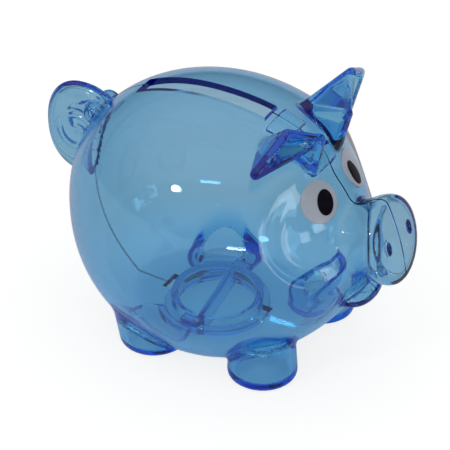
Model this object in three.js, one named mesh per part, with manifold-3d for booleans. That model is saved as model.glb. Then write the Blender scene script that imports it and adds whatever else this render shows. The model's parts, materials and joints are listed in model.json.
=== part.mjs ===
// A clear plastic piggy bank. Two half shells meet along the pig's middle plane, with a coin slot in the back
// and a round twist-off stopper in the flat belly. Nose towards -Y, tail towards +Y, up +Z, feet on Z = 0.
import * as THREE from "three";
import { ConvexGeometry } from "three/addons/geometries/ConvexGeometry.js";
import { mergeVertices } from "three/addons/utils/BufferGeometryUtils.js";
import Module from "manifold-3d";

// Driving dimensions, in millimetres.
const WALL = 2;
const GAP = 0.3; // between any two separate pieces
const FAR = 200; // a size larger than the whole bank, for cutting

// The body is an egg: semi-axes from its centre, and the power of its side profile.
const BODY = { y: 0.2, z: 38.3, side: 39.5, front: 49.3, back: 46.2, top: 39.7, bottom: 44.1, power: 2.2 };
const BELLY_Z = 3; // underside of the flat belly
const CHEST = 0.2; // how quickly the front gets shorter below the body's middle
// The face is flattened by a shallow hollow round a line that runs across it, reach to each side.
const FACE = { y: -42, z: 53.5, reach: 18, depth: 3.4, flat: 9, edge: 20 };

const SNOUT = { y: -56, z: 46.7, tilt: 17.2, radius: 12.6, waist: 11.4, length: 22, dome: 2.1 };
const NOSTRIL = { side: 6.3, up: 0.7, width: 2.6, height: 4.6, depth: 1.1 };
const JAW = { y: -44.6, z: 26, side: 9, along: 6.8, up: 4.2 };
const TAIL = { y: 44.2, z: 51, side: 5, along: 15.65, up: 16 };

const FOOT_HEIGHT = 14;
const FEET = {
  front: { x: 18.2, y: -24.3, bottom: 10.4, top: 9.4 },
  rear: { x: 20.2, y: 11.4, bottom: 10.2, top: 12.4 },
};

// Corners of the left ear, which is a rounded hull over them. The last three lie inside the head.
const EAR_ROUND = 2.2;
const EAR_CORNERS = [
  [7.5, -33.8, 69.5],
  [8.6, -35.4, 77.4],
  [19.4, -32.6, 83.8],
  [10.5, -22, 74],
  [28.4, -27.6, 76.9],
  [8, -30.5, 61],
  [10, -22, 65],
  [17, -27, 62],
];

const SLOT = { width: 7, from: -15.9, to: 25.9 };

// The stopper and its round hole in the belly. Its lugs lock over the belly and pass out through two notches.
const HOLE = { y: 1.5, radius: 14.2, recess: 16.4, notch: 17.5, notchWidth: 6.8 };
const STOPPER = { bottom: 1, top: 8, flange: 16.1, flangeTop: 2.7, lug: 17.2, lugWidth: 6, lugHeight: 2 };
const GRIP = { width: 2, turn: 8 }; // the bar across the stopper, turned a few degrees from the lugs

// An eye is a round disc with an oval pupil on it, both laid on the face.
const EYE = { x: 10, y: -37.1, z: 59, normal: [0.357, -0.733, 0.579], radius: 6.15, thick: 0.5 };
const PUPIL = { x: 8.2, y: -38.8, z: 58.7, width: 5.3, height: 7.2, thick: 0.5 };

// Tabs inside the seam that line up the two halves: their size, and where each is as [y, z].
const TAB = { reach: 5, thick: 1.4, length: 6 };
const TAB_CENTRES = [
  [-20.5, 75],
  [-33.5, 69],
  [-38, 12],
];

const wasm = await Module();
wasm.setup();

// A closed three.js geometry as a solid that can be joined and cut.
function solid(geometry) {
  const bare = new THREE.BufferGeometry().setAttribute("position", geometry.getAttribute("position"));
  if (geometry.index) bare.setIndex(geometry.index);
  const merged = mergeVertices(bare, 1e-4);
  return new wasm.Manifold(
    new wasm.Mesh({
      numProp: 3,
      vertProperties: merged.getAttribute("position").array,
      triVerts: new Uint32Array(merged.index.array),
    }),
  );
}

const join = (solids) => solids.reduce((all, one) => all.add(one));

function box(lowX, lowY, lowZ, highX, highY, highZ) {
  const geometry = new THREE.BoxGeometry(highX - lowX, highY - lowY, highZ - lowZ);
  geometry.translate((lowX + highX) / 2, (lowY + highY) / 2, (lowZ + highZ) / 2);
  return solid(geometry);
}

// A round solid about the Z axis, from its outline as [radius, height] pairs going up.
function turned(outline, segments) {
  const points = outline.map(([radius, height]) => new THREE.Vector2(radius, height));
  return new THREE.LatheGeometry(points, segments).rotateX(Math.PI / 2);
}

function upright(radius, lowZ, highZ, x, y, segments = 48) {
  const outline = [
    [0, lowZ],
    [radius, lowZ],
    [radius, highZ],
    [0, highZ],
  ];
  return solid(turned(outline, segments).translate(x, y, 0));
}

function ellipsoid(shape, inset) {
  const geometry = new THREE.SphereGeometry(1, 20, 12);
  geometry.scale(shape.side - inset, shape.along - inset, shape.up - inset);
  return solid(geometry.translate(0, shape.y, shape.z));
}

// The point of the body's surface in a direction from its centre, moved inwards by inset.
function bodyPoint(direction, inset) {
  const length = direction.y < 0 ? BODY.front : BODY.back;
  const height = direction.z < 0 ? BODY.bottom : BODY.top;
  const across = Math.hypot(direction.x / BODY.side, direction.y / length);
  const upwards = Math.abs(direction.z) / height;
  const reach = (across ** BODY.power + upwards ** BODY.power) ** (-1 / BODY.power);
  const point = direction.clone().multiplyScalar(reach);
  const flat = (across * reach) ** (BODY.power - 2) || 0;
  const steep = (upwards * reach) ** (BODY.power - 1) / height;
  const normal = new THREE.Vector3(
    (flat * point.x) / BODY.side ** 2,
    (flat * point.y) / length ** 2,
    Math.sign(point.z) * steep,
  ).normalize();
  const low = Math.max(-point.z / BODY.z, 0);
  if (point.y < 0) point.y *= 1 - (CHEST * low * low) / (low + 0.25);
  point.y += BODY.y;
  point.z += BODY.z;
  const aside = Math.max(Math.abs(point.x) - FACE.reach, 0);
  const fromFace = Math.hypot(aside, point.y - FACE.y, point.z - FACE.z);
  const hollow = FACE.depth * (1 - THREE.MathUtils.smoothstep(fromFace, FACE.flat, FACE.edge));
  return point.addScaledVector(normal, -inset - hollow);
}

function bodySolid(inset) {
  const geometry = new THREE.SphereGeometry(1, 40, 22).rotateX(Math.PI / 2);
  const position = geometry.getAttribute("position");
  const direction = new THREE.Vector3();
  for (let i = 0; i < position.count; i++) {
    direction.fromBufferAttribute(position, i);
    position.setXYZ(i, ...bodyPoint(direction, inset).toArray());
  }
  return solid(geometry);
}

// The body with its belly cut flat.
function belliedBody(inset) {
  const aboveBelly = box(-FAR, -FAR, BELLY_Z + inset, FAR, FAR, FAR);
  return bodySolid(inset).intersect(aboveBelly);
}

function snout(inset) {
  const rim = SNOUT.radius - inset;
  const front = -inset;
  const outline = [
    [0, -SNOUT.length],
    [SNOUT.waist - inset, -SNOUT.length],
    [SNOUT.waist - inset, front - 9.5],
    [rim - 0.9, front - 6],
    [rim - 0.2, front - 3.6],
    [rim, front - 1.9],
    [rim - 0.4, front - 0.7],
    [rim - 1.6, front + 0.4],
    [rim - 4.2, front + 1.4],
    [rim - 8, front + 1.9],
    [0, front + SNOUT.dome],
  ];
  const geometry = turned(outline, 28).rotateX(Math.PI / 2 - THREE.MathUtils.degToRad(SNOUT.tilt));
  return solid(geometry.translate(0, SNOUT.y, SNOUT.z));
}

function nostril(side) {
  const geometry = new THREE.SphereGeometry(1, 12, 8);
  geometry.scale(NOSTRIL.width / 2, NOSTRIL.depth, NOSTRIL.height / 2);
  geometry.translate(side * NOSTRIL.side, -1.7, NOSTRIL.up);
  geometry.rotateX(-THREE.MathUtils.degToRad(SNOUT.tilt));
  return solid(geometry.translate(0, SNOUT.y, SNOUT.z));
}

function foot(shape, side, inset) {
  const bottom = shape.bottom - inset;
  const outline = [
    [0, inset],
    [bottom - 1.2, inset],
    [bottom - 0.35, inset + 0.35],
    [bottom, inset + 1.2],
    [shape.top - inset, FOOT_HEIGHT],
    [0, FOOT_HEIGHT],
  ];
  return solid(turned(outline, 24).translate(side * shape.x, shape.y, 0));
}

function ear(side, inset) {
  const corner = new THREE.IcosahedronGeometry(EAR_ROUND - inset, 0).getAttribute("position");
  const points = EAR_CORNERS.flatMap(([x, y, z]) =>
    Array.from({ length: corner.count }, (_, i) =>
      new THREE.Vector3().fromBufferAttribute(corner, i).add(new THREE.Vector3(side * x, y, z)),
    ),
  );
  return solid(new ConvexGeometry(points));
}

// Everything that the skin encloses. An inset of one wall gives the hollow inside it.
function pig(inset) {
  const sides = [-1, 1].flatMap((side) => [
    foot(FEET.front, side, inset),
    foot(FEET.rear, side, inset),
    ear(side, inset),
  ]);
  return join([belliedBody(inset), snout(inset), ellipsoid(JAW, inset), ellipsoid(TAIL, inset), ...sides]);
}

// The whole skin, before it is parted into halves.
function skin() {
  const recess = upright(HOLE.recess, -1, BELLY_Z, 0, HOLE.y);
  const outside = pig(0).subtract(recess).subtract(nostril(-1)).subtract(nostril(1));
  const recessWall = upright(HOLE.recess + WALL, -1, BELLY_Z + WALL, 0, HOLE.y);
  const inside = pig(WALL).subtract(recessWall);
  const slot = box(-SLOT.width / 2, SLOT.from, BODY.z, SLOT.width / 2, SLOT.to, FAR);
  const hole = upright(HOLE.radius, 0, BELLY_Z + 2 * WALL, 0, HOLE.y);
  const notches = box(
    -HOLE.notchWidth / 2,
    HOLE.y - HOLE.notch,
    0,
    HOLE.notchWidth / 2,
    HOLE.y + HOLE.notch,
    BELLY_Z + 2 * WALL,
  );
  return outside.subtract(inside).subtract(slot).subtract(hole).subtract(notches);
}

// The tabs grow from the inner wall of the left half and reach under the edge of the right one.
function tabs() {
  const half = TAB.length / 2;
  const places = join(
    TAB_CENTRES.map(([y, z]) => box(-TAB.reach, y - half, z - half, TAB.reach, y + half, z + half)),
  );
  const leftSide = box(GAP / 2, -FAR, -FAR, FAR, FAR, FAR);
  const underRight = bodySolid(WALL + GAP).intersect(places);
  const onLeft = bodySolid(WALL - GAP).intersect(places).intersect(leftSide);
  return underRight.add(onLeft).subtract(bodySolid(WALL + GAP + TAB.thick));
}

function halfShells() {
  const whole = skin();
  const rightSide = box(-FAR, -FAR, -FAR, -GAP / 2, FAR, FAR);
  const leftSide = box(GAP / 2, -FAR, -FAR, FAR, FAR, FAR);
  return { right: whole.intersect(rightSide), left: whole.intersect(leftSide).add(tabs()) };
}

function stopper() {
  const skirt = HOLE.radius - GAP;
  const outline = [
    [0, STOPPER.top - WALL],
    [skirt - WALL, STOPPER.top - WALL],
    [skirt - WALL, STOPPER.bottom],
    [STOPPER.flange, STOPPER.bottom],
    [STOPPER.flange, STOPPER.flangeTop],
    [skirt, STOPPER.flangeTop],
    [skirt, STOPPER.top],
    [0, STOPPER.top],
  ];
  const cup = solid(turned(outline, 48).translate(0, HOLE.y, 0));
  const height = STOPPER.top - WALL / 2 - STOPPER.bottom;
  const grip = new THREE.BoxGeometry(2 * skirt - WALL, GRIP.width, height);
  grip.rotateZ(THREE.MathUtils.degToRad(GRIP.turn));
  grip.translate(0, HOLE.y, STOPPER.bottom + height / 2);
  const lugBottom = BELLY_Z + WALL + GAP;
  const lugs = [-1, 1].map((side) => {
    const [low, high] = [side * (skirt - WALL / 2), side * STOPPER.lug].sort((a, b) => a - b);
    const across = STOPPER.lugWidth / 2;
    return box(low, HOLE.y - across, lugBottom, high, HOLE.y + across, lugBottom + STOPPER.lugHeight);
  });
  return join([cup, solid(grip), ...lugs]);
}

// A patch of the face's surface under an oval punch, standing off the skin.
function patch(side, centre, width, height, standOff, thick) {
  const outline = new THREE.Shape().absellipse(0, 0, width / 2, height / 2, 0, 2 * Math.PI);
  const geometry = new THREE.ExtrudeGeometry(outline, { depth: 12, bevelEnabled: false, curveSegments: 14 });
  geometry.translate(0, 0, -6);
  const normal = new THREE.Vector3(side * EYE.normal[0], EYE.normal[1], EYE.normal[2]);
  const facing = new THREE.Matrix4().lookAt(normal, new THREE.Vector3(), new THREE.Vector3(0, 0, 1));
  geometry.applyMatrix4(facing).translate(side * centre.x, centre.y, centre.z);
  return solid(geometry)
    .intersect(bodySolid(-standOff - thick))
    .subtract(bodySolid(-standOff));
}

const eyeWhite = (side) => patch(side, EYE, 2 * EYE.radius, 2 * EYE.radius, GAP, EYE.thick);

const eyePupil = (side) => patch(side, PUPIL, PUPIL.width, PUPIL.height, 2 * GAP + EYE.thick, PUPIL.thick);

const clearBlue = new THREE.MeshStandardMaterial({
  color: 0x6fa3bd,
  roughness: 0.08,
  metalness: 0,
  transparent: true,
  opacity: 0.55,
});
const eyePaint = new THREE.MeshStandardMaterial({ color: 0xb4bcc8, roughness: 0.25, metalness: 0 });
const pupilPaint = new THREE.MeshStandardMaterial({ color: 0x05060c, roughness: 0.2, metalness: 0 });

function mesh(name, made, material) {
  const data = made.getMesh();
  const geometry = new THREE.BufferGeometry();
  geometry.setAttribute("position", new THREE.BufferAttribute(data.vertProperties, 3));
  geometry.setIndex(new THREE.BufferAttribute(data.triVerts, 1));
  geometry.computeVertexNormals();
  const named = new THREE.Mesh(geometry, material);
  named.name = name;
  return named;
}

const halves = halfShells();
const bank = new THREE.Group();
bank.name = "piggy_bank";
bank.add(
  mesh("half_shell_right", halves.right, clearBlue),
  mesh("half_shell_left", halves.left, clearBlue),
  mesh("stopper", stopper(), clearBlue),
  mesh("eye_white_right", eyeWhite(-1), eyePaint),
  mesh("eye_white_left", eyeWhite(1), eyePaint),
  mesh("eye_pupil_right", eyePupil(-1), pupilPaint),
  mesh("eye_pupil_left", eyePupil(1), pupilPaint),
);

export default bank;
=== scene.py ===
import json
import math

import bmesh
import bpy
import numpy as np
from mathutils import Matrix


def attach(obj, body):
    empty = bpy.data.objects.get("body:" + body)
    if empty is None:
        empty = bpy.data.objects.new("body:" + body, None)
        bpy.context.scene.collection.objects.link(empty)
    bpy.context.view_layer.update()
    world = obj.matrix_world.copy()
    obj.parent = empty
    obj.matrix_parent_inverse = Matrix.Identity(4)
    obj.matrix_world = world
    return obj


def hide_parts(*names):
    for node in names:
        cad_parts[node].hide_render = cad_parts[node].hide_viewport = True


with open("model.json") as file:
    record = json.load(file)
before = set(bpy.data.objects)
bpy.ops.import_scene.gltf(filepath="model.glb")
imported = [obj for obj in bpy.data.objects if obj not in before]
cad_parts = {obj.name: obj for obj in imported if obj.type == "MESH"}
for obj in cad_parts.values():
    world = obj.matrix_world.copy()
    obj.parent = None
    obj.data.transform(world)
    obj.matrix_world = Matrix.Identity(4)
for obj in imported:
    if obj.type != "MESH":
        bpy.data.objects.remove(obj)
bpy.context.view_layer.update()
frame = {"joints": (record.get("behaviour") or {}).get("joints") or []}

import openvdb
from mathutils import Matrix, Vector

MM = 0.001
FAR = 99.0  # a size larger than the whole bank, for cutting
PAST = 9.0  # a cut goes this far past what it cuts
CELL = 0.65  # how finely the skin is sampled
CORE_CELL = 1.0  # and the bottom of the seam's groove
TAB_CELL = 0.3
SKIN_BOX = ((-43.0, -63.0, -3.0), (43.0, 63.0, 90.0))

# The skin. The body is an egg, flattened by a shallow hollow round a line across the face.
WALL = 2.0
BODY = {"y": 0.2, "z": 38.3, "side": 39.5, "front": 49.3, "back": 46.2, "top": 39.7, "bottom": 44.1}
BODY_POWER = 2.2
LEAST_SLOPE = 0.012  # keeps the distance finite at the middle of the body
BELLY_Z = 3.0
CHEST = 0.2  # how much, and how quickly, the front gets shorter below the body's middle
CHEST_FROM = 0.25
FACE = {"y": -42.0, "z": 53.5, "reach": 18.0, "depth": 3.4, "flat": 7.0, "edge": 22.0}

# The snout is a flared drum on a tilted axis, with a slightly domed face.
SNOUT = {"y": -56.0, "z": 46.7, "tilt": 17.2, "rim": 12.9, "waist": 11.3, "length": 20, "edge": 2.8}
SNOUT_FLARE = (-10, -1)
SNOUT_DOME = {"height": 1.7, "radius": 15.5}
SNOUT_WALL = 0.75  # share of the common wall
NOSTRIL = {"place": (6.3, 0.7, 1.9), "size": (1.3, 2.3, 1.5), "edge": 0.8}
JAW = {"centre": (0.0, -44.6, 26.4), "size": (9.4, 6.8, 3.5), "power": 2.2}

# The tail is a flat disc with a spiral groove, and a small knot at each side of its root.
TAIL = {"centre": (0.0, 46.8, 51.2), "size": (4.8, 12.9, 15.4), "power": 2.3}
TAIL_KNOT = {"centre": (4.0, 40.6, 60.4), "size": (3.0, 3.4, 3.4)}
CURL = {"shift": 1.0, "pitch": 5.2, "turn": 0.1, "width": 0.8, "depth": 0.75}
CURL_START = (1.5, 4.0)
CURL_END = (8.0, 10.5)

FEET = [
    {"x": 18.2, "y": -24.3, "bottom": 10.4, "top": 9.4},
    {"x": 20.2, "y": 11.4, "bottom": 10.2, "top": 12.4},
]
FOOT_HEIGHT = 14.0
FOOT_EDGE = 2.0
FOOT_WALL = 1.1  # thickness of a foot's side, in walls
FOOT_SOLE = 0.45  # how much thinner its sole is, in walls
FOOT_LIP = {"height": 2.2, "width": 1.5}  # thickening inside the mouth of a foot

# Corners of the left ear. The flap is cupped at the front, and the base reaches down into the head.
EAR_ROUND = 1.5
EAR_TOP = (7.5, -35.3, 77.3)
EAR_REAR = (10.2, -20.0, 72.8)
EAR_FLAP = [EAR_TOP, (18.5, -31.3, 84.0), (30.6, -28.2, 76.9), (19.9, -23.8, 75.4), EAR_REAR]
EAR_BASE = [
    EAR_TOP,
    EAR_REAR,
    (6.2, -33.5, 67.9),
    (8.6, -35.5, 77.1),
    (11.3, -20.2, 72.6),
    (7.3, -33.7, 67.7),
    (8.0, -30.5, 61.0),
    (10.0, -22.0, 65.0),
]
EAR_CUP = [(12.3, -33.8, 78.7), (18.7, -31.4, 82.0), (25.8, -29.5, 78.5), (16.2, -27.5, 78.2)]
EAR_CUP_ROUND = 0.8
EAR_CUP_EDGE = 1.2
EAR_CUP_SWEEP = 9 * np.array((0.283, -0.934, 0.218))  # out of the front of the ear
EAR_BLEND = 1.5
HULL_SHARPNESS = 1.4  # how closely the inside of a rounded hull follows its planes
HULL_NEAR = 12  # farther out than this, the distance may be rough

# Roundings where the parts of the skin meet, outside and inside.
OUTER_FILLETS = {"snout": 3.4, "jaw": 2.5, "knot": 1.5, "tail": 1.5, "ear": 1.4, "foot": 1.4, "belly": 1.2}
INNER_FILLETS = {"snout": 5.0, "jaw": 0.6, "knot": 0.6, "tail": 0.6, "foot": 0.6, "belly": 0.4}

# The seam is a groove between the two half shells. Below the groove they all but touch.
SEAM = {"width": 0.46, "depth": 1.1, "gap": 0.06}
TAB = {"reach": 5.6, "length": 6.6, "thick": 0.9, "edge": 0.6, "overlap": 0.4, "clear": 0.12}
TAB_PLACES = [(-20.5, 75.0), (-33.5, 69.0), (-38.0, 12.0)]

# The openings and the stopper, which turns about the frame's hinge.
HINGE_Y = frame["joints"][0]["pos_m"][1] / MM
SLOT = {"width": 7.0, "from": -15.9, "to": 25.9}
HOLE = {"radius": 14.2, "recess": 16.4, "notch": 17.5, "notch_width": 6.8}
GAP = 0.3  # round the stopper
STOPPER = {"bottom": 1.0, "top": 8.0, "wall": 1.8, "ceiling": 6.2, "mouth": 1.5, "rim": 2.75}
LUG = {"reach": 17.2, "width": 6.0, "low": 5.3, "high": 7.3, "bevel": 0.35}
GRIP = {"width": 2.0, "low": 1.05, "high": 7.0, "bevel": 0.3, "turn": 8}
LATHE_SEGMENTS = 128

# The right eye. Each disc lies on the skin between two heights above it.
EYE_NORMAL = (-0.357, -0.733, 0.579)
EYE_WHITE = {"centre": (-10, -37.1, 59), "size": (6.15, 6.15), "low": 0.05, "high": 0.32, "lean": 0}
EYE_PUPIL = {"centre": (-8.8, -38.4, 58.6), "size": (2.65, 3.7), "low": 0.36, "high": 0.55, "lean": 18}
EYE_RIM = [(1.0, 0.0), (1.0, 0.55), (0.985, 0.85), (0.955, 1.0)]  # shares of its radius and thickness
EYE_RINGS = 14
EYE_SPOKES = 72
LAY_ROUNDS = 12  # how often, and how far each time, a disc is moved towards its heights
LAY_STEP = 0.9

# Edges sharper than this are drawn sharp, in degrees.
SHARP_SKIN = 30
SHARP_STOPPER = 35
SHARP_EYE = 50
ON_SKIN = 0.06  # a point this near the skin is on it
SAME_WAY = 0.9  # least cosine between a moulded face's normal and the skin's


# Signed distances, negative inside. Each takes an array of points, one per row.


def smooth_min(a, b, blend):
    near = np.clip(1 - np.abs(a - b) / blend, 0, 1)
    return np.minimum(a, b) - near**3 * blend / 6


def smooth_max(a, b, blend):
    return -smooth_min(-a, -b, blend)


def smooth_step(value, low, high):
    t = np.clip((value - low) / (high - low), 0, 1)
    return t * t * t * (t * (6 * t - 15) + 10)


def ellipsoid(points, centre, size, power=2.0):
    scaled = np.abs(points - np.array(centre)) / np.array(size)
    level = (scaled**power).sum(1) ** (1 / power) + 1e-9
    slope = scaled ** (power - 1) / np.array(size) * (level ** (1 - power))[:, None]
    return (level - 1) / np.maximum(np.linalg.norm(slope, axis=1), 1 / (3 * max(size)))


def body(points):
    x = points[:, 0]
    z = points[:, 2] - BODY["z"]
    low = np.maximum(-z / BODY["z"], 0)
    y = points[:, 1] - BODY["y"]
    y = np.where(y < 0, y / (1 - CHEST * low * low / (low + CHEST_FROM)), y)
    length = np.where(y < 0, BODY["front"], BODY["back"])
    height = np.where(z < 0, BODY["bottom"], BODY["top"])
    across = np.hypot(x / BODY["side"], y / length) + 1e-9
    upwards = np.abs(z) / height
    level = (across**BODY_POWER + upwards**BODY_POWER) ** (1 / BODY_POWER)
    flat = across ** (BODY_POWER - 2)
    slope = np.sqrt(
        (flat * x / BODY["side"] ** 2) ** 2
        + (flat * y / length**2) ** 2
        + (upwards ** (BODY_POWER - 1) / height) ** 2
    ) * level ** (1 - BODY_POWER)
    skin = (level - 1) / np.maximum(slope, LEAST_SLOPE)
    aside = np.maximum(np.abs(x) - FACE["reach"], 0)
    from_face = np.sqrt(
        aside**2 + (points[:, 1] - FACE["y"]) ** 2 + (points[:, 2] - FACE["z"]) ** 2
    )
    return skin + FACE["depth"] * (1 - smooth_step(from_face, FACE["flat"], FACE["edge"]))


def snout_frame(points):
    """Across, up and outward coordinates of points on the snout's own axis."""
    tilt = math.radians(SNOUT["tilt"])
    y = points[:, 1] - SNOUT["y"]
    z = points[:, 2] - SNOUT["z"]
    out = -y * math.cos(tilt) + z * math.sin(tilt)
    up = y * math.sin(tilt) + z * math.cos(tilt)
    return np.stack([points[:, 0], up, out], 1)


def snout(points):
    across, up, out = snout_frame(points).T
    radius = np.hypot(across, up)
    flare = (SNOUT["rim"] - SNOUT["waist"]) * smooth_step(out, *SNOUT_FLARE)
    side = radius - SNOUT["waist"] - flare
    face = out - SNOUT_DOME["height"] * (1 - (radius / SNOUT_DOME["radius"]) ** 2)
    back = -out - SNOUT["length"]
    return np.maximum(smooth_max(side, face, SNOUT["edge"]), back)


def nostrils(points):
    local = snout_frame(points)
    local[:, 0] = np.abs(local[:, 0])
    return ellipsoid(local, NOSTRIL["place"], NOSTRIL["size"])


def curl(points):
    """A shallow spiral groove that gives the tail its curl."""
    y = points[:, 1] - TAIL["centre"][1] - CURL["shift"]
    z = points[:, 2] - TAIL["centre"][2]
    radius = np.hypot(y, z)
    pitch = CURL["pitch"]
    turn = np.mod(np.arctan2(z, y) / (2 * math.pi) + CURL["turn"], 1.0)
    away = np.abs(np.mod(radius - pitch * turn + pitch / 2, pitch) - pitch / 2)
    fade = smooth_step(radius, *CURL_START) * (1 - smooth_step(radius, *CURL_END))
    return CURL["depth"] * fade * np.exp(-((away / CURL["width"]) ** 2))


def foot(points, shape, drop=0.0):
    """One foot, with its sole lowered by a drop."""
    radius = np.hypot(points[:, 0] - shape["x"], points[:, 1] - shape["y"])
    z = points[:, 2]
    side = radius - shape["bottom"] - (shape["top"] - shape["bottom"]) * z / FOOT_HEIGHT
    return np.maximum(smooth_max(side, -z - drop, FOOT_EDGE), z - FOOT_HEIGHT)


def triangle_distance(points, a, b, c):
    normal = np.cross(b - a, c - a)
    above = np.ones(len(points), bool)
    nearest = np.full(len(points), np.inf)
    for start, end in ((a, b), (b, c), (c, a)):
        edge = end - start
        offset = points - start
        share = np.clip(offset @ edge / (edge @ edge), 0, 1)
        nearest = np.minimum(nearest, np.linalg.norm(offset - share[:, None] * edge, axis=1))
        above &= offset @ np.cross(normal, edge) >= 0
    flat = np.abs((points - a) @ normal) / np.linalg.norm(normal)
    return np.where(above, flat, nearest)


def hull_faces(corners):
    """The triangles round a set of corners, each as its outward normal and its three corners."""
    mesh = bmesh.new()
    for corner in corners:
        mesh.verts.new(corner)
    bmesh.ops.convex_hull(mesh, input=mesh.verts)
    bmesh.ops.triangulate(mesh, faces=mesh.faces)
    faces = []
    for face in mesh.faces:
        a, b, c = (np.array(vert.co) for vert in face.verts)
        faces.append((np.array(face.normal), a, b, c))
    mesh.free()
    return faces


def rounded_hull(points, faces, radius):
    """Distance to a convex solid whose edges and corners are rounded by a radius."""
    levels = np.array([(points - a) @ normal for normal, a, b, c in faces])
    planes = levels.max(0)
    softened = np.exp(HULL_SHARPNESS * (levels - planes)).sum(0)
    distance = planes + np.log(softened) / HULL_SHARPNESS
    near = (planes > 0) & (planes < HULL_NEAR)
    outer = [triangle_distance(points[near], a, b, c) for normal, a, b, c in faces]
    distance[near] = np.min(outer, axis=0)
    return distance - radius


FLAP_FACES = hull_faces(EAR_FLAP)
BASE_FACES = hull_faces(EAR_BASE)
CUP_FACES = hull_faces(EAR_CUP + [tuple(np.array(c) + EAR_CUP_SWEEP) for c in EAR_CUP[:3]])


def ear(points):
    flap = rounded_hull(points, FLAP_FACES, EAR_ROUND)
    base = rounded_hull(points, BASE_FACES, EAR_ROUND)
    cup = rounded_hull(points, CUP_FACES, EAR_CUP_ROUND)
    return smooth_min(smooth_max(flap, -cup, EAR_CUP_EDGE), base, EAR_BLEND)


def pig(points, fillets, wall=0.0):
    """The outside of the whole bank, or its inside when a wall is taken off. The ears are solid."""
    points = points.copy()
    points[:, 0] = np.abs(points[:, 0])
    ball = body(points) + wall
    skin = smooth_max(ball, BELLY_Z + wall - points[:, 2], fillets["belly"])
    skin = smooth_min(skin, snout(points) + SNOUT_WALL * wall, fillets["snout"])
    jaw = ellipsoid(points, JAW["centre"], JAW["size"], JAW["power"]) + wall
    skin = smooth_min(skin, jaw, fillets["jaw"])
    tail = ellipsoid(points, TAIL["centre"], TAIL["size"], TAIL["power"]) + wall + curl(points)
    knot = ellipsoid(points, TAIL_KNOT["centre"], TAIL_KNOT["size"]) + wall
    skin = smooth_min(skin, smooth_min(tail, knot, fillets["knot"]), fillets["tail"])
    if not wall:
        skin = smooth_min(skin, ear(points), fillets["ear"])
    lip = FOOT_LIP["height"] * np.exp(-((ball / FOOT_LIP["width"]) ** 2)) if wall else 0
    for shape in FEET:
        leg = foot(points, shape, FOOT_SOLE * wall) + wall * FOOT_WALL + lip
        skin = smooth_min(skin, leg, fillets["foot"])
    return skin


def outside(points):
    return smooth_max(pig(points, OUTER_FILLETS), -nostrils(points), NOSTRIL["edge"])


def inside(points):
    return pig(points, INNER_FILLETS, WALL)


def slopes(distance, points, step=0.02):
    """The direction in which a distance grows, at each point."""
    result = np.empty_like(points)
    for axis in range(3):
        shift = np.zeros(3)
        shift[axis] = step
        result[:, axis] = distance(points + shift) - distance(points - shift)
    return result / (2 * step)


def settle(distance, points, rounds=3):
    """Points moved onto the surface where the distance is zero."""
    for _ in range(rounds):
        slope = slopes(distance, points)
        size = np.maximum((slope**2).sum(1), 0.05)  # keeps the step finite where the distance is flat
        points = points - np.clip(distance(points) / size, -1, 1)[:, None] * slope
    return points


def surface(distance, low, high, cell):
    """The closed surface where the distance is zero, as points and faces."""
    axes = [np.arange(start, stop + cell, cell) for start, stop in zip(low, high)]
    shape = tuple(len(axis) for axis in axes)
    grid = np.stack(np.meshgrid(*axes, indexing="ij"), -1).reshape(-1, 3)
    values = np.concatenate([distance(part) for part in np.array_split(grid, 16)])
    volume = openvdb.FloatGrid(4 * cell)
    volume.copyFromArray(values.reshape(shape).astype(np.float32))
    found, quads = volume.convertToQuads()
    found = settle(distance, np.array(low) + found.astype(float) * cell)
    return found, quads


# Meshes.


def link(made):
    bpy.context.scene.collection.objects.link(made)
    return made


def make(name, points, faces):
    mesh = bpy.data.meshes.new(name)
    mesh.from_pydata([tuple(p) for p in points], [], [tuple(int(i) for i in f) for f in faces])
    mesh.validate()
    return link(bpy.data.objects.new(name, mesh))


def from_bmesh(name, mesh):
    made = link(bpy.data.objects.new(name, bpy.data.meshes.new(name)))
    mesh.to_mesh(made.data)
    mesh.free()
    return made


def box(low, high, bevel=0.0):
    """A box between two corners, with its edges rounded by a bevel."""
    mesh = bmesh.new()
    bmesh.ops.create_cube(mesh, size=1)
    size = [b - a for a, b in zip(low, high)]
    middle = [(a + b) / 2 for a, b in zip(low, high)]
    place = Matrix.Translation(middle) @ Matrix.Diagonal((*size, 1))
    bmesh.ops.transform(mesh, matrix=place, verts=mesh.verts)
    if bevel:
        edges = mesh.edges[:]
        bmesh.ops.bevel(mesh, geom=edges, offset=bevel, segments=3, affect="EDGES", profile=0.5)
    return from_bmesh("box", mesh)


def lathe(outline):
    """A solid turned about the hinge, from [radius, height] points that start and end on the axis."""
    points = [(0, HINGE_Y, outline[0][1])]
    for radius, height in outline[1:-1]:
        for turn in range(LATHE_SEGMENTS):
            angle = 2 * math.pi * turn / LATHE_SEGMENTS
            points.append((radius * math.cos(angle), HINGE_Y + radius * math.sin(angle), height))
    points.append((0, HINGE_Y, outline[-1][1]))
    last = len(points) - 1
    top = last - LATHE_SEGMENTS
    faces = []
    for turn in range(LATHE_SEGMENTS):
        after = (turn + 1) % LATHE_SEGMENTS
        faces.append((0, 1 + after, 1 + turn))
        for lower in range(1, top, LATHE_SEGMENTS):
            upper = lower + LATHE_SEGMENTS
            faces.append((lower + turn, lower + after, upper + after, upper + turn))
        faces.append((top + turn, top + after, last))
    return make("lathe", points, faces)


def upright(radius, low, high):
    return lathe([(0, low), (radius, low), (radius, high), (0, high)])


def combine(target, operation, other):
    """Joins the target with another solid, or cuts it, and removes the other solid."""
    modifier = target.modifiers.new("combine", "BOOLEAN")
    modifier.operation = operation
    modifier.solver = "MANIFOLD"
    modifier.object = other
    graph = bpy.context.evaluated_depsgraph_get()
    result = bpy.data.meshes.new_from_object(target.evaluated_get(graph))
    target.modifiers.clear()
    target.data = result
    bpy.data.objects.remove(other)


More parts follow.
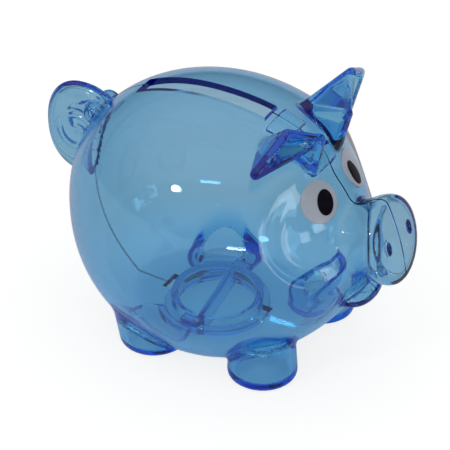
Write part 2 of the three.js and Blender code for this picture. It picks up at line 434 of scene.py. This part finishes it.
def mirrored(source):
    copy = source.copy()
    copy.data = source.data.copy()
    copy.data.transform(Matrix.Scale(-1, 4, (1, 0, 0)))
    copy.data.flip_normals()
    return link(copy)


def read_all(items, name, width=1, kind=float):
    """One property of all items of a mesh, as an array with a row for each item."""
    found = np.empty(len(items) * width, kind)
    items.foreach_get(name, found)
    return found.reshape(-1, width) if width > 1 else found


def smooth(made, sharp_angle):
    mesh = made.data
    mesh.polygons.foreach_set("use_smooth", np.ones(len(mesh.polygons), bool))
    mesh.set_sharp_from_angle(angle=math.radians(sharp_angle))


def smooth_skin(made):
    """Gives the moulded faces the exact normals of the skin. The cut faces stay flat."""
    smooth(made, SHARP_SKIN)
    mesh = made.data
    points = read_all(mesh.vertices, "co", 3)
    corner_vertex = read_all(mesh.loops, "vertex_index", kind=int)
    totals = read_all(mesh.polygons, "loop_total", kind=int)
    corner_face = np.repeat(np.arange(len(totals)), totals)
    corner_normal = read_all(mesh.polygons, "normal", 3)[corner_face]
    chosen = np.zeros((len(corner_vertex), 3))
    for distance, sign in ((outside, 1), (inside, -1)):
        exact = slopes(distance, points)
        exact *= sign / np.maximum(np.linalg.norm(exact, axis=1), 1e-9)[:, None]
        on_skin = np.abs(distance(points)) < ON_SKIN
        agree = (corner_normal * exact[corner_vertex]).sum(1) > SAME_WAY
        fits = on_skin[corner_vertex] & agree
        whole = np.bincount(corner_face, fits, minlength=len(totals)) >= totals
        fits &= whole[corner_face]
        chosen[fits] = exact[corner_vertex][fits]
    mesh.normals_split_custom_set([tuple(n) for n in chosen])


def finish_piece(made, cad_node, body_name, material):
    """Scales a piece to metres, names it and ties it to the frame."""
    made.name = "look_" + cad_node
    made.data.name = made.name
    made.data.transform(Matrix.Scale(MM, 4))
    made.data.materials.clear()
    made.data.materials.append(material)
    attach(made, body_name)
    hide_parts(cad_node)


# Materials.


def new_material(name):
    material = bpy.data.materials.new(name)
    material.use_nodes = True
    tree = material.node_tree
    return material, tree, tree.nodes["Principled BSDF"]


def set_inputs(node, inputs):
    for name, value in inputs.items():
        node.inputs[name].default_value = value


def add_node(tree, kind, inputs=None, **settings):
    node = tree.nodes.new(kind)
    for name, value in settings.items():
        setattr(node, name, value)
    set_inputs(node, inputs or {})
    return node


def add_noise(tree, scale, detail):
    """The output of a noise that is fixed to the object."""
    place = add_node(tree, "ShaderNodeTexCoord")
    noise = add_node(tree, "ShaderNodeTexNoise", {"Scale": scale, "Detail": detail})
    tree.links.new(place.outputs["Object"], noise.inputs["Vector"])
    return noise.outputs["Fac"]


def clear_plastic():
    """Dyed polystyrene: glossy, with faint mould ripples and scuffs. Thicker plastic is bluer."""
    material, tree, shader = new_material("clear_blue_plastic")
    set_inputs(shader, {"Base Color": (1, 1, 1, 1), "IOR": 1.5, "Transmission Weight": 1.0})
    scuffs = add_noise(tree, 900.0, 3.0)
    ripples = add_noise(tree, 45.0, 1.0)
    scuffed = {"From Min": 0.45, "From Max": 0.75, "To Min": 0.0, "To Max": 0.05}
    roughness = add_node(tree, "ShaderNodeMapRange", scuffed)
    bump = add_node(tree, "ShaderNodeBump", {"Strength": 0.04, "Distance": 0.001})
    dye_inputs = {"Density": 300.0, "Color": (0.03, 0.69, 0.95, 1)}
    dye = add_node(tree, "ShaderNodeVolumeAbsorption", dye_inputs)
    links = tree.links
    links.new(scuffs, roughness.inputs["Value"])
    links.new(roughness.outputs["Result"], shader.inputs["Roughness"])
    links.new(ripples, bump.inputs["Height"])
    links.new(bump.outputs["Normal"], shader.inputs["Normal"])
    links.new(dye.outputs["Volume"], tree.nodes["Material Output"].inputs["Volume"])
    return material


def printed_film(name, noise, dark, light, light_at, finish):
    """A thin film whose colour wanders a little between two tones."""
    material, tree, shader = new_material(name)
    tone = add_node(tree, "ShaderNodeValToRGB")
    tone.color_ramp.elements[0].color = (*dark, 1)
    tone.color_ramp.elements[1].position = light_at
    tone.color_ramp.elements[1].color = (*light, 1)
    tree.links.new(add_noise(tree, *noise), tone.inputs["Fac"])
    tree.links.new(tone.outputs["Color"], shader.inputs["Base Color"])
    set_inputs(shader, finish)
    return material


def eye_film():
    finish = {"Roughness": 0.3, "Coat Weight": 0.4, "Coat Roughness": 0.05}
    return printed_film(
        "eye_film", (260.0, 3.0), (0.40, 0.45, 0.53), (0.46, 0.51, 0.58), 1.0, finish
    )


def pupil_film():
    finish = {"Roughness": 0.18, "Specular IOR Level": 0.05}
    return printed_film(
        "pupil_film", (700.0, 4.0), (0.001, 0.001, 0.004), (0.008, 0.008, 0.014), 0.9, finish
    )


# The pieces.


def cut_openings(half):
    """Cuts the coin slot, the belly opening with its recess, and the notches that let the lugs out."""
    slot = SLOT["width"] / 2
    combine(half, "DIFFERENCE", box((-slot, SLOT["from"], BODY["z"]), (slot, SLOT["to"], FAR)))
    combine(half, "DIFFERENCE", upright(HOLE["recess"], -PAST, BELLY_Z))
    combine(half, "DIFFERENCE", upright(HOLE["radius"], -PAST, PAST))
    notch = HOLE["notch_width"] / 2
    front = (-notch, HINGE_Y - HOLE["notch"], 0)
    rear = (notch, HINGE_Y + HOLE["notch"], PAST)
    combine(half, "DIFFERENCE", box(front, rear))


def seam_groove():
    """A solid that cuts the left side of the groove: a slab without the pig's core."""
    core = make("core", *surface(lambda p: outside(p) + SEAM["depth"], *SKIN_BOX, CORE_CELL))
    groove = box((-PAST, -FAR, -FAR), (SEAM["width"] / 2, FAR, FAR))
    combine(groove, "DIFFERENCE", core)
    return groove


def tab(y, z):
    """A tongue on the left half's inner wall that reaches under the right half."""
    reach, length = TAB["reach"], TAB["length"] / 2

    def distance(points):
        skin = body(points)
        on_left = points[:, 0] > SEAM["width"] / 2
        under = np.where(on_left, WALL - TAB["overlap"], WALL + TAB["clear"])
        # The plate is longer upwards, because the skin slants.
        sides = np.abs(points - np.array((0, y, z))) - np.array((reach, length, length + 2))
        plate = smooth_max(sides[:, 0], np.maximum(sides[:, 1], sides[:, 2]), TAB["edge"])
        return np.maximum(np.maximum(skin + under, -skin - WALL - TAB["thick"]), plate)

    low = (-reach - 1, y - length - 1, z - length - 3)
    high = (reach + 1, y + length + 1, z + length + 3)
    return make("tab", *surface(distance, low, high, TAB_CELL))


def half_shells(material):
    left = make("skin", *surface(outside, *SKIN_BOX, CELL))
    hollow = make("hollow", *surface(inside, *SKIN_BOX, CELL))
    combine(hollow, "DIFFERENCE", upright(HOLE["recess"] + WALL, -PAST, BELLY_Z + WALL))
    combine(left, "INTERSECT", box((SEAM["gap"] / 2, -FAR, -FAR), (FAR, FAR, FAR)))
    combine(left, "DIFFERENCE", seam_groove())
    combine(left, "DIFFERENCE", hollow)
    cut_openings(left)
    right = mirrored(left)
    for y, z in TAB_PLACES:
        combine(left, "UNION", tab(y, z))
    for half, cad_node in ((left, "half_shell_left"), (right, "half_shell_right")):
        smooth_skin(half)
        finish_piece(half, cad_node, "bank", material)


def stopper_cup(skirt):
    """A cup that opens downwards, with a flange round its mouth, from the radius of its skirt."""
    flange = HOLE["recess"] - GAP
    cup = skirt - STOPPER["wall"]
    bottom, rim, top = STOPPER["bottom"], STOPPER["rim"], STOPPER["top"]
    mouth, ceiling = STOPPER["mouth"], STOPPER["ceiling"]
    inner_corner = [(cup - 0.8, ceiling), (cup - 0.25, ceiling - 0.25), (cup, ceiling - 0.8)]
    mouth_corner = [(cup, mouth), (cup + 0.4, mouth - 0.4)]
    lower_corner = [(flange - 0.4, bottom), (flange - 0.1, bottom + 0.15), (flange, bottom + 0.5)]
    upper_corner = [(flange, rim - 0.45), (flange - 0.2, rim - 0.15), (flange - 0.5, rim - 0.05)]
    top_corner = [(skirt, top - 0.6), (skirt - 0.2, top - 0.2), (skirt - 0.7, top)]
    hollow = [(0, ceiling), *inner_corner, *mouth_corner]
    return lathe([*hollow, *lower_corner, *upper_corner, (skirt, rim), *top_corner, (0, top)])


def stopper(material):
    """The cup with a bar to grip across it and two lugs on its skirt."""
    skirt = HOLE["radius"] - GAP
    inner = skirt - 1
    made = stopper_cup(skirt)
    half = GRIP["width"] / 2
    bar = box((-inner, -half, GRIP["low"]), (inner, half, GRIP["high"]), GRIP["bevel"])
    turn = Matrix.Rotation(math.radians(GRIP["turn"]), 4, "Z")
    bar.data.transform(Matrix.Translation((0, HINGE_Y, 0)) @ turn)
    combine(made, "UNION", bar)
    half = LUG["width"] / 2
    for side in (-1, 1):
        near, far = sorted((side * inner, side * LUG["reach"]))
        low = (near, HINGE_Y - half, LUG["low"])
        high = (far, HINGE_Y + half, LUG["high"])
        combine(made, "UNION", box(low, high, LUG["bevel"]))
    smooth(made, SHARP_STOPPER)
    finish_piece(made, "stopper", "stopper", material)


def eye_disc(cad_node, side, shape, material):
    """A thin disc with a rounded edge, laid on the skin. Side is -1 for the right eye, 1 for the left."""
    mirror = np.array((-side, 1, 1))
    normal = mirror * EYE_NORMAL
    centre = mirror * shape["centre"]
    level = np.cross((0, 0, 1.0), normal)
    level /= np.linalg.norm(level)
    rise = np.cross(normal, level)
    lean = math.radians(shape["lean"])
    across = math.cos(lean) * level - math.sin(lean) * rise
    upwards = math.cos(lean) * rise + math.sin(lean) * level
    face = [(EYE_RIM[-1][0] * (1 - ring / EYE_RINGS), 1.0) for ring in range(1, EYE_RINGS)]
    rings = EYE_RIM + face
    thick = shape["high"] - shape["low"]
    points = []
    heights = []
    for share, height in rings:
        for spoke in range(EYE_SPOKES):
            angle = 2 * math.pi * spoke / EYE_SPOKES
            right = shape["size"][0] * math.cos(angle) * across
            up = shape["size"][1] * math.sin(angle) * upwards
            points.append(centre + share * (right + up))
            heights.append(shape["low"] + thick * height)
    points = np.array(points + [centre, centre])
    heights = np.array(heights + [shape["high"], shape["low"]])
    for _ in range(LAY_ROUNDS):
        error = outside(points) - heights
        points = points - error[:, None] * normal * LAY_STEP
    top, bottom = len(points) - 2, len(points) - 1
    innermost = (len(rings) - 1) * EYE_SPOKES
    faces = []
    for spoke in range(EYE_SPOKES):
        after = (spoke + 1) % EYE_SPOKES
        for outer in range(0, innermost, EYE_SPOKES):
            inner = outer + EYE_SPOKES
            faces.append((outer + spoke, outer + after, inner + after, inner + spoke))
        faces.append((innermost + spoke, innermost + after, top))
        faces.append((after, spoke, bottom))
    made = make(cad_node, points, faces)
    smooth(made, SHARP_EYE)
    finish_piece(made, cad_node, "bank", material)


plastic = clear_plastic()
film = eye_film()
black = pupil_film()
half_shells(plastic)
stopper(plastic)
for side, word in ((-1, "right"), (1, "left")):
    eye_disc("eye_white_" + word, side, EYE_WHITE, film)
    eye_disc("eye_pupil_" + word, side, EYE_PUPIL, black)

# The stage, the light and the camera, in metres.

TARGET = Vector((0, -1.18, 32.53)) * MM
TO_CAMERA = Vector((-0.7094, -0.4096, 0.5736)).normalized()
DISTANCE = 0.61765
FLOOR_Z = -0.0003  # just below the feet
FLOOR_SIZE = 6


def aim(thing, target):
    direction = thing.location - target
    thing.rotation_euler = direction.to_track_quat("Z", "Y").to_euler()


def camera():
    made = link(bpy.data.objects.new("camera", bpy.data.cameras.new("camera")))
    made.data.lens = 168
    made.data.sensor_width = 36
    made.data.clip_end = 20
    made.location = TARGET + TO_CAMERA * DISTANCE
    aim(made, TARGET)
    bpy.context.scene.camera = made


def floor():
    """A sheet of white paper that glows near white to the camera. Light that has passed through the
    plastic sees it greyer, a painted shade, with a painted pool of glowing blue light under the pig."""
    mesh = bmesh.new()
    bmesh.ops.create_grid(mesh, x_segments=1, y_segments=1, size=FLOOR_SIZE)
    made = from_bmesh("floor", mesh)
    made.location.z = FLOOR_Z
    material, tree, shader = new_material("floor_paper_painted_light")
    place = add_node(tree, "ShaderNodeTexCoord")
    away = add_node(tree, "ShaderNodeVectorMath", operation="LENGTH")
    # Painted light: near the pig's middle the paper glows blue, a painted pool of light standing in for
    # light that comes through the plastic; farther out it glows a dim grey.
    edge = {"From Min": 0.03, "From Max": 0.08}
    painted_pool_mask = add_node(tree, "ShaderNodeMapRange", edge, interpolation_type="SMOOTHSTEP")
    painted_pool_colours = {"A": (0.13, 0.22, 0.31, 1), "B": (0.08, 0.08, 0.1, 1)}
    painted_pool_glow = add_node(tree, "ShaderNodeMix", painted_pool_colours, data_type="RGBA")
    # Painted shade: the camera sees the paper glow near white, while light that has passed through the
    # plastic sees only the dim painted glow. The paper's base colour is 0.6 to that light and 0.3 to the
    # camera.
    view = add_node(tree, "ShaderNodeLightPath")
    painted_glow_by_ray = add_node(tree, "ShaderNodeMix", {"B": (0.8, 0.8, 0.8, 1)}, data_type="RGBA")
    paper = add_node(tree, "ShaderNodeMapRange", {"To Min": 0.6, "To Max": 0.3})
    links = tree.links
    links.new(place.outputs["Object"], away.inputs[0])
    links.new(away.outputs["Value"], painted_pool_mask.inputs["Value"])
    links.new(painted_pool_mask.outputs["Result"], painted_pool_glow.inputs["Factor"])
    links.new(painted_pool_glow.outputs["Result"], painted_glow_by_ray.inputs["A"])
    links.new(view.outputs["Is Camera Ray"], painted_glow_by_ray.inputs["Factor"])
    links.new(view.outputs["Is Camera Ray"], paper.inputs["Value"])
    links.new(paper.outputs["Result"], shader.inputs["Base Color"])
    links.new(painted_glow_by_ray.outputs["Result"], shader.inputs["Emission Color"])
    set_inputs(shader, {"Roughness": 0.9, "Specular IOR Level": 0.0, "Emission Strength": 1.0})
    made.data.materials.append(material)


def room():
    """A white room that is brightest overhead. The camera sees it plain white."""
    world = bpy.data.worlds.new("studio")
    bpy.context.scene.world = world
    world.use_nodes = True
    tree = world.node_tree
    background = tree.nodes["Background"]
    background.inputs["Color"].default_value = (1, 1, 1, 1)
    place = add_node(tree, "ShaderNodeTexCoord")
    height = add_node(tree, "ShaderNodeSeparateXYZ")
    brightness = {"From Min": 0.1, "From Max": 1.0, "To Min": 0.22, "To Max": 0.95}
    overhead = add_node(tree, "ShaderNodeMapRange", brightness, interpolation_type="SMOOTHSTEP")
    view = add_node(tree, "ShaderNodeLightPath")
    level = add_node(tree, "ShaderNodeMix", {"B": 1.0})
    links = tree.links
    links.new(place.outputs["Generated"], height.inputs["Vector"])
    links.new(height.outputs["Z"], overhead.inputs["Value"])
    links.new(overhead.outputs["Result"], level.inputs["A"])
    links.new(view.outputs["Is Camera Ray"], level.inputs["Factor"])
    links.new(level.outputs["Result"], background.inputs["Strength"])


def glint(name, point, shape, size, power, distance):
    """A lamp that the skin mirrors to the camera at a point, which is in millimetres."""
    place = settle(outside, np.array([point], float))
    normal = Vector(slopes(outside, place)[0]).normalized()
    ray = 2 * normal.dot(TO_CAMERA) * normal - TO_CAMERA
    spot = Vector(place[0]) * MM
    light = bpy.data.lights.new(name, "AREA")
    light.shape = shape
    light.size, light.size_y = size
    light.energy = power
    made = link(bpy.data.objects.new(name, light))
    made.location = spot + ray.normalized() * distance
    made.visible_camera = False
    aim(made, spot)


camera()
floor()
room()
glint("glint_small", (-31.1, -2.6, 64.6), "DISK", (0.12, 0.12), 1.2, 1.2)
glint("glint_strip", (-32.2, -24.5, 51.6), "RECTANGLE", (0.3, 0.05), 0.8, 1.2)
glint("window_brow", (-16.5, -32.5, 65.0), "RECTANGLE", (0.22, 0.16), 0.35, 1.0)
glint("window_cheek", (-24.8, -35.4, 51.8), "RECTANGLE", (0.16, 0.22), 0.3, 1.0)
scene = bpy.context.scene
scene.view_settings.view_transform = "Standard"
scene.cycles.max_bounces = 64
scene.cycles.transmission_bounces = 64
scene.cycles.glossy_bounces = 64
